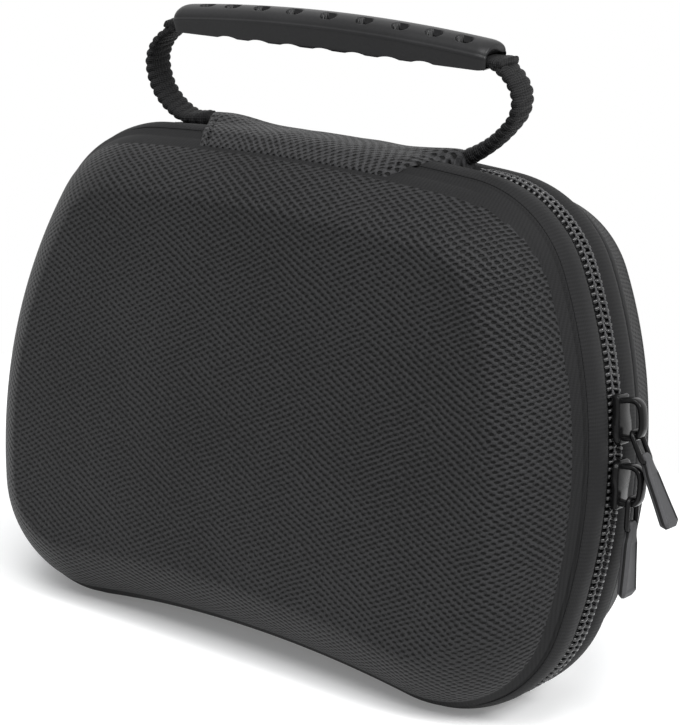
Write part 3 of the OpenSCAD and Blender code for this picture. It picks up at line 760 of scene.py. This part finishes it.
def grip_section(n):
    """The grip's outline as (across, up), from the middle of its floor round and back."""
    right = [(0.0, 0.0), (2.5, 0.0), (4.3, 0.02), (4.7, 0.14), (4.93, 0.5), (5.13, 1.3)]
    right += [(5.52, 3.4), (5.83, 5.0), (6.0, 5.5), (6.0, 5.8), (5.84, 6.02), (5.62, 6.12)]
    right += [(5.5, 6.4), (5.2, 6.95), (4.6, 7.55), (3.7, 8.15), (2.5, 8.62), (1.25, 8.91)]
    right += [(0.0, 9.0)]
    line = curve(right, 8)
    run = lengths(line)
    half = []
    i = 0
    for k in range(n + 1):
        s = run[-1] * k / n
        while i < len(run) - 2 and run[i + 1] < s:
            i += 1
        t = (s - run[i]) / (run[i + 1] - run[i])
        half.append(tuple(line[i][c] + (line[i + 1][c] - line[i][c]) * t for c in (0, 1)))
    return half + [(-a, u) for a, u in half[-2:0:-1]]


SCALLOP_PITCH, SCALLOP_R, SCALLOP_DEPTH, SCALLOPS_A_SIDE = 9.8, 9.0, 0.55, 3
HOLES_A_SIDE, HOLE_R, HOLE_DEPTH, HOLE_FLAT, HOLE_SHIFT = 4, 1.4, 1.9, 0.75, 0.6
END_ROUND, END_SHRINK = 2.6, 0.15
SLOT_HALF = (4.45, 1.62)


def grip():
    """The moulded grip: arched, scalloped below, with blind holes on top and open ends."""
    half = GRIP_LEN / 2
    arch = half * half / (2 * GRIP_RISE)
    section = grip_section(80)
    centre_up, top_from, reach = 3.0, 6.8, half - 7.4
    # the holes sit towards the front, and nearer the middle at the left end
    shares = [k / HOLES_A_SIDE for k in range(-HOLES_A_SIDE, HOLES_A_SIDE + 1)]
    holes = [(reach * q * (1.1 - 0.1 * q * q), -2.7 - 1.7 * min(0.0, q)) for q in shares]
    rows, uvs, dug = [], [], set()

    def floor_at(x):
        k = round(x / SCALLOP_PITCH)
        d = x - k * SCALLOP_PITCH
        if abs(k) > SCALLOPS_A_SIDE:
            return 0.0
        return max(0.0, SCALLOP_DEPTH - (SCALLOP_R - math.sqrt(SCALLOP_R**2 - d * d)))

    def station(x, scale):
        row = []
        for a, u in section:
            a *= scale
            u = centre_up + (u - centre_up) * scale
            h = arch + u
            th = x / arch
            px, pz = h * math.sin(th), h * math.cos(th) - arch
            low = floor_at(x) if scale > 0.99 else (1 - scale) * 3
            if pz < low:
                pz = low + (pz - low) * 0.02
            for hx, ha in holes if u > top_from else ():
                over = max(0.0, abs(px - hx - HOLE_SHIFT) - HOLE_FLAT)
                e = math.hypot(over, a - ha) / HOLE_R
                if e < 1.08:
                    dug.add(len(rows) * len(section) + len(row))
                pz -= HOLE_DEPTH * smooth_step((1.12 - e) / 0.2)
            row.append(on_handle(px, a, GRIP_FLOOR + pz))
        rows.append(row)
        uvs.append([(x, q * 0.3) for q in range(len(section) + 1)])

    def slot_ring(x, size):
        ring = []
        for a, u in section:
            ang = math.atan2(u - centre_up, a)
            ca, sa = math.cos(ang), math.sin(ang)
            k = 1 / max(abs(ca) / (SLOT_HALF[0] * size), abs(sa) / (SLOT_HALF[1] * size))
            ring.append(on_handle(x, ca * k, STRAP_RISE - 1.2 + sa * k))
        rows.append(ring)
        uvs.append([(x, q * 0.3) for q in range(len(section) + 1)])

    def end_scale(e):
        return 1 - END_SHRINK * (1 - math.sqrt(1 - (1 - e / END_ROUND) ** 2))

    mouth = [(6.0, 1.0), (0.9, 1.0), (0.35, 1.08)]
    ends = [0.0, 0.25, 0.6, 1.1, 1.8, END_ROUND]
    for e, size in mouth:
        slot_ring(-half + e, size)
    for e in ends:
        station(-half + e, end_scale(e))
    n = 340
    for k in range(1, n):
        station(-half + END_ROUND + (GRIP_LEN - 2 * END_ROUND) * k / n, 1.0)
    for e in reversed(ends):
        station(half - e, end_scale(e))
    for e, size in reversed(mouth):
        slot_ring(half - e, size)
    b = Build()
    b.loft(rows, uvs, caps=(False, False))
    # faces inside the blind holes take the near-black painted shade
    b.m = [1 if dug.issuperset(f) else 0 for f in b.f]
    mats = [grip_rubber, hole_painted_shade]
    ob = b.object("grip_moulding", mats, "handle", sharp=70)
    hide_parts("handle_grip")


handle_strap()
grip()


# Sliders and pulls, built in the slider's own frame: X outwards, Z along the zip


def side_place(angle, lx, ly, lz):
    a = math.radians(angle)
    ca, sa = math.cos(a), math.sin(a)
    return (SIDE[0] + (SIDE_R + lx) * ca - lz * sa, ly, SIDE[1] + (SIDE_R + lx) * sa + lz * ca)


def apply_modifiers(ob):
    deps = bpy.context.evaluated_depsgraph_get()
    me = bpy.data.meshes.new_from_object(ob.evaluated_get(deps))
    old = ob.data
    ob.modifiers.clear()
    ob.data = me
    bpy.data.meshes.remove(old)
    ob.data.polygons.foreach_set("use_smooth", [True] * len(me.polygons))
    return ob


SLIDER_LEN, PLATE_X, PLATE_T = 12.0, 0.1, 1.6


def slider(name, node, body, angle, nose_up):
    """Two plates, the post between them and the flat loop that holds the pull."""
    flip = 1 if nose_up else -1
    b = Build()

    def at(x, y, z):
        return side_place(angle, x, y * flip, z * flip)

    def plate(x0, x1, nose, tail):
        n, t, h = nose / 2, tail / 2, SLIDER_LEN / 2
        side = [(t - 0.9, -h), (t - 0.2, -h + 0.25), (t, -h + 0.9), (t, -h + 2.6)]
        side += [(t + 0.1, -1.2), (n - 0.15, 0.3), (n, 1.2), (n, h - 2.2), (n - 0.35, h - 1.0)]
        side += [(n - 1.6, h - 0.15), (n - 2.3, h)]
        line = side + [(-y, z) for y, z in reversed(side)]
        levels = [(x0, 0.25), (x0 + 0.25, 0), (x1 - 0.45, 0), (x1 - 0.12, 0.18), (x1, 0.5)]
        b.loft(
            [[at(x, y * (1 - i / 4.2), z * (1 - i / 5.5)) for y, z in line] for x, i in levels]
        )

    plate(PLATE_X, PLATE_X + PLATE_T, 8.4, 6.8)
    plate(-4.35, -3.15, 6.6, 5.8)
    post = [(-0.2, 1.0), (0.2, 1.0), (0.2, 5.4), (-0.2, 5.4)]
    b.loft([[at(x, y, z) for y, z in post] for x in (-3.35, 0.3)])
    loop = curve(
        [(1.5, -4.5), (3.4, -4.55), (5.0, -4.25), (6.0, -3.1), (6.32, -1.4), (6.36, 0.4)]
        + [(6.2, 2.2), (5.5, 3.7), (4.1, 4.45), (1.5, 4.5)],
        5,
    )
    rows = []
    for i, (x, z) in enumerate(loop):
        p, q = loop[max(i - 1, 0)], loop[min(i + 1, len(loop) - 1)]
        dx, dz = q[0] - p[0], q[1] - p[1]
        d = math.hypot(dx, dz)
        nx, nz = dz / d, -dx / d
        wide = 1.7 + 0.25 * (1 - min(1, x / 4.0))
        row = []
        for k in range(16):
            a = TAU * k / 16
            ca, sa = math.cos(a), math.sin(a)
            y = wide * abs(ca) ** 0.5 * (1 if ca > 0 else -1)
            t = 0.72 * abs(sa) ** 0.7 * (1 if sa > 0 else -1)
            row.append(at(x + nx * t, y, z + nz * t))
        rows.append(row)
    b.loft(rows)
    ob = b.object(name, [metal], body, sharp=42)
    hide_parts(node)


slider("slider_body_upper", "zip_slider_upper", "slider_upper", UPPER, False)
slider("slider_body_lower", "zip_slider_lower", "slider_lower", LOWER, True)


LINK_HALF, LINK_LEN, LINK_CORNER, WIRE_R = 2.65, 7.6, 1.25, 0.63
TAB_LEN = 18.5
# Faces round the tab's section, its sides and the walls of its sunk frame, which take a painted
# shade
SHADED_TAB_FACES = (0, 4, 7, 11, 12, 16, 19, 23)


def pull(tag, body, angle, lean):
    """A wire link and its rubber tab, in a frame that hangs from the slider's loop."""
    pivot = side_place(angle, PLATE_X + PLATE_T + 2.6, 0.0, 3.1 - SLIDER_LEN / 2)
    ca, sa = math.cos(math.radians(lean)), math.sin(math.radians(lean))

    def at(x, y, z):
        return (pivot[0] + x * ca - z * sa, y, pivot[2] + x * sa + z * ca)

    w, length, r = LINK_HALF - LINK_CORNER, LINK_LEN, LINK_CORNER
    loop = []
    for cy, cz, a0 in ((w, -r, 0), (-w, -r, 90), (-w, r - length, 180), (w, r - length, 270)):
        for k in range(7):
            t = math.radians(a0 + 15 * k)
            loop.append(at(0, cy + r * math.cos(t), cz + r * math.sin(t)))
    b = Build()
    b.tube(loop, WIRE_R, sides=12, wrap=True, side=(ca, 0, sa))
    link = b.object("link_" + tag, [metal], body)
    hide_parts("pull_link_" + tag)

    top = -length + 0.8 + 1.3
    end = top - TAB_LEN
    line = curve(
        [(top, 1.0), (top - 0.25, 1.45), (top - 1.0, 1.65), (top - 3.4, 1.68), (top - 4.6, 2.1)]
        + [(top - 6.0, 2.45), (top - 11.0, 2.85), (end + 3.0, 3.35), (end + 1.5, 3.5)]
        + [(end + 0.9, 3.35), (end, 2.6)],
        4,
    )
    run = lengths(line)
    b = Build()
    rows, uvs = [], []
    for (z, h), d in zip(line, run):
        t = 1.15 if z < top - 1.0 else 0.75 + 0.4 * min(1, (top - z) / 1.0)
        if z < end + 1.3:
            t = 0.45 + 0.7 * (z - end) / 1.3
        frame_in, dip = (0.5, 0.22) if top - 5.2 > z > end + 1.6 else (0.02, 0.0)
        sec = [(h, 0.0), (h, t * 0.3), (h - 0.25, t * 0.8), (h - 0.5, t)]
        sec += [(h - 0.5 - frame_in * 0.5, t), (h - 0.55 - frame_in, t - dip), (0.0, t - dip)]
        ring = sec + [(-y, x) for y, x in reversed(sec[:-1])]
        ring += [(-y, -x) for y, x in sec[1:-1]]
        ring += [(0.0, dip - t)] + [(y, -x) for y, x in reversed(sec[1:-1])]
        rows.append([at(x, y, z) for y, x in ring])
        uvs.append([(d, q) for q in lengths(ring + ring[:1])])
    b.loft(rows, uvs)
    # the tab's sides and frame walls get the darker painted shade
    b.m = [1 if f % len(rows[0]) in SHADED_TAB_FACES else 0 for f in range(len(b.m))]
    tab = b.object("tab_" + tag, [tab_rubber, tab_painted_shade], body, sharp=50)
    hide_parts("pull_tab_" + tag)


pull("upper", "pull_upper", UPPER, UPPER_LEAN)
pull("lower", "pull_lower", LOWER, LOWER_LEAN)


# Inside: net pocket with its hem, retaining strap and patches

INNER = 5.1


def flat_strip(b, z0, z1, y0, thick, x_from=None, n=120):
    """A flat strap across the inside with its ends cut to the wall.

    A positive thickness runs towards the rear. With x_from only the stretch from there to the
    wall on its own side is made.
    """
    t = abs(thick)
    r = min(t / 2, 0.45)
    c = r * 0.3
    sign = 1 if thick > 0 else -1
    section = [(z0 + r, 0), (z1 - r, 0), (z1 - c, c), (z1, r), (z1, t - r), (z1 - c, t - c)]
    section += [(z1 - r, t), (z0 + r, t), (z0 + c, t - c), (z0, t - r), (z0, r), (z0 + c, c)]
    wide = [half_width(z, INNER) for z, y in section]
    rows, uvs = [], []
    run = lengths(section + [section[0]])
    for k in range(n + 1):
        f = k / n
        row = []
        for (z, y), w in zip(section, wide):
            end = -w if x_from is None else x_from
            reach = w if x_from is None else math.copysign(w, x_from)
            row.append((end * (1 - f) + reach * f, y0 + sign * y, z))
        rows.append(row)
        uvs.append([(row[0][0], d) for d in run])
    b.loft(rows, uvs)


NET_Y, NET_TOP, NET_INSET = -11.45, 75.6, 7.0
CELL, HOLE_SHARE, HOLE_CORNER, NET_THICK = 3.5, 0.66, 0.18, 0.4
HOLE_FILL = 0.93  # a hole's area against that of its uncut diamond


def net_cell(x, z):
    """One diamond of net about a diamond hole with cut corners: its points and its faces."""
    h, m, f = CELL / 2, CELL / 2 * HOLE_SHARE, HOLE_CORNER
    outer = [(h, 0), (0, h), (-h, 0), (0, -h)]
    hole = [(m, 0), (0, m), (-m, 0), (0, -m)]
    corners, faces = [], []
    for k in range(4):
        (ax, az), (bx, bz) = hole[k], hole[(k + 1) % 4]
        corners += [(ax * (1 - f) + bx * f, az * (1 - f) + bz * f)]
        corners += [(ax * f + bx * (1 - f), az * f + bz * (1 - f))]
        faces.append([k, (k + 1) % 4, 5 + 2 * k, 4 + 2 * k])
        faces.append([k, 4 + 2 * k, 4 + (2 * k - 1) % 8])
    return [(x + a, NET_Y, z + c) for a, c in outer + corners], faces


def net_sheet():
    """The net inside the lid and its area in square metres."""
    edge = [rim(AROUND * i / 720) for i in range(720)]
    edge = [(x - NET_INSET * nx, z - NET_INSET * nz) for x, z, nx, nz in edge]

    def inside(x, z):
        hit = False
        for (x0, z0), (x1, z1) in zip(edge, edge[1:] + edge[:1]):
            if (z0 > z) != (z1 > z) and x < x0 + (z - z0) * (x1 - x0) / (z1 - z0):
                hit = not hit
        return hit

    verts, faces, cells = [], [], 0
    for j in range(int(NET_TOP / (CELL / 2))):
        z = NET_TOP - CELL / 2 - j * CELL / 2
        for i in range(-26, 27):
            x = (i + (0.5 if j % 2 else 0)) * CELL
            if not inside(x, z):
                continue
            points, around = net_cell(x, z)
            faces += [[len(verts) + c for c in face] for face in around]
            verts += points
            cells += 1
    uvs = [[(verts[c][0], verts[c][2]) for c in face] for face in faces]
    net = make("pocket_net", verts, faces, uvs, [net_cloth], None)
    mod = net.modifiers.new("thick", "SOLIDIFY")
    mod.thickness = NET_THICK * 0.001
    mod.offset = 0
    apply_modifiers(net)
    return net, cells * 1e-6 * CELL * CELL / 2 * (1 - HOLE_SHARE**2 * HOLE_FILL)


def pocket():
    net, area = net_sheet()
    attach(net, "lid")
    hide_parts("mesh_pocket")

    # The flat tape that holds the net to the wall, up to the hem
    start = min(range(0, 1000), key=lambda i: abs(rim(60 + i * 0.1)[1] - 76.0))
    s0 = 60 + start * 0.1
    rows, uv = [], []
    n = 260
    section = [(5.15, -11.42), (9.4, -11.42), (9.6, -11.6), (9.6, -12.0), (9.4, -12.18)]
    section += [(5.15, -12.18)]
    run = lengths(section + [section[0]])
    for k in range(n + 1):
        s = s0 + (AROUND - 2 * s0) * k / n
        rows.append([on_rim(s, i, y) for i, y in section])
        uv.append([(s, d) for d in run])
    b = Build()
    b.loft(rows, uv)
    edge = b.object("pocket_rim", [binding_cloth], "lid", sharp=50)
    b = Build()
    flat_strip(b, 76.1, 83.0, -11.4, -1.8)
    hem = b.object("pocket_elastic", [elastic], "lid", sharp=50)
    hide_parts("pocket_hem")


def retaining():
    """The elastic strap that holds the controller, and its sewn patches."""
    b = Build()
    flat_strip(b, 66.0, 91.0, 11.4, 1.3)
    ob = b.object("elastic_strap", [elastic], "rear", sharp=50)
    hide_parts("retaining_strap")
    for tag, side in (("left", -1), ("right", 1)):
        b = Build()
        flat_strip(b, 65.0, 92.0, 12.8, 1.1, x_from=side * 70.9, n=24)
        spots = []
        for k in range(10):
            z = 67 + 2.5 * k
            for x in (72.5, 81.5):
                spots.append(((side * x, 12.8, z), (0, 0, 1), (0, -1, 0)))
        stitches(b, spots, 1.8, 0.16, 5)
        ob = b.object("patch_" + tag, [binding_cloth], "rear", sharp=50)
        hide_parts("strap_anchor_" + tag)


pocket()
retaining()


# Floor, lights and camera


FLOOR_HALF, FLOOR_Z, FLOOR_GLOW = 0.3, -0.0002, 0.17
SOFT_LIGHT, WHITE = 0.44, 1.0


def seen_rays(tree):
    """1 for rays of the camera, gloss and glass, 0 for the light on the object."""
    path = tree.nodes.new("ShaderNodeLightPath")
    seen = path.outputs["Is Camera Ray"]
    for ray in ("Is Glossy Ray", "Is Transmission Ray"):
        either = tree.nodes.new("ShaderNodeMath")
        either.operation = "MAXIMUM"
        tree.links.new(seen, either.inputs[0])
        tree.links.new(path.outputs[ray], either.inputs[1])
        seen = either.outputs[0]
    return seen


def white_floor():
    g = Graph("floor_white", 0.9, 0.1)
    n = g.noise(g.place(), 3.0)
    floor_mat = g.finish(g.ramp(n, [(0.3, (0.90, 0.90, 0.90)), (0.7, (0.92, 0.92, 0.92))]))
    g.shader.inputs["Emission Color"].default_value = (1, 1, 1, 1)
    glow = g.mul(seen_rays(g.tree), FLOOR_GLOW)
    g.tree.links.new(glow, g.shader.inputs["Emission Strength"])
    me = bpy.data.meshes.new("floor")
    s, z = FLOOR_HALF, FLOOR_Z
    me.from_pydata([(-s, -s, z), (s, -s, z), (s, s, z), (-s, s, z)], [], [(0, 1, 2, 3)])
    me.materials.append(floor_mat)
    floor = bpy.data.objects.new("floor", me)
    bpy.context.scene.collection.objects.link(floor)


def studio():
    """Soft light for the object, with plain white where the camera looks past it."""
    world = bpy.data.worlds.new("studio")
    bpy.context.scene.world = world
    world.use_nodes = True
    t = world.node_tree
    t.nodes.clear()
    out = t.nodes.new("ShaderNodeOutputWorld")
    mix = t.nodes.new("ShaderNodeMixShader")
    soft = t.nodes.new("ShaderNodeBackground")
    soft.inputs[0].default_value = (0.96, 0.98, 1.0, 1)
    soft.inputs[1].default_value = SOFT_LIGHT
    white = t.nodes.new("ShaderNodeBackground")
    white.inputs[0].default_value = (1, 1, 1, 1)
    white.inputs[1].default_value = WHITE
    t.links.new(seen_rays(t), mix.inputs[0])
    t.links.new(soft.outputs[0], mix.inputs[1])
    t.links.new(white.outputs[0], mix.inputs[2])
    t.links.new(mix.outputs[0], out.inputs[0])

    def area(name, place, target, size, power):
        data = bpy.data.lights.new(name, "AREA")
        data.shape = "RECTANGLE"
        data.size, data.size_y = size
        data.energy = power
        ob = bpy.data.objects.new(name, data)
        ob.location = place
        ob.rotation_euler = (Vector(target) - Vector(place)).to_track_quat("-Z", "Y").to_euler()
        bpy.context.scene.collection.objects.link(ob)

    area("key_front", (0.2, -0.85, 1.25), (0, -0.02, 0.05), (0.9, 0.9), 20)
    area("top_right", (0.85, -0.2, 0.85), (0.03, 0, 0.08), (0.4, 0.4), 9)
    area("glint", (0.95, -0.75, 0.85), (0.05, 0, 0.08), (0.06, 0.06), 1.2)


# The photo's camera, fitted to its outline: turn, height and roll in degrees, the point looked
# at and the distance in metres, and the focal length in pixels of a picture 725 pixels high
TURN_HEIGHT_ROLL = (31.58, 10.346, 6.808)
LOOK_AT, DISTANCE = (0.008791, 0, 0.077097), 0.475148
FOCAL, PICTURE, SENSOR = 1831.34, 725, 36.0


def camera():
    az, el, roll = (math.radians(a) for a in TURN_HEIGHT_ROLL)
    look = Vector((-math.sin(az) * math.cos(el), math.cos(az) * math.cos(el), -math.sin(el)))
    right = Vector((math.cos(az), math.sin(az), 0))
    up = right.cross(look)
    r2 = right * math.cos(roll) + up * math.sin(roll)
    u2 = up * math.cos(roll) - right * math.sin(roll)
    place = Vector(LOOK_AT) - look * DISTANCE
    data = bpy.data.cameras.new("camera")
    data.sensor_fit = "AUTO"
    data.sensor_width = SENSOR
    data.lens = FOCAL / PICTURE * SENSOR
    data.clip_start = 0.01
    data.clip_end = 50
    cam = bpy.data.objects.new("camera", data)
    m = Matrix((r2, u2, -look)).transposed().to_4x4()
    m.translation = place
    cam.matrix_world = m
    bpy.context.scene.collection.objects.link(cam)
    bpy.context.scene.camera = cam


white_floor()
studio()
camera()
bpy.context.scene.view_settings.view_transform = "Standard"
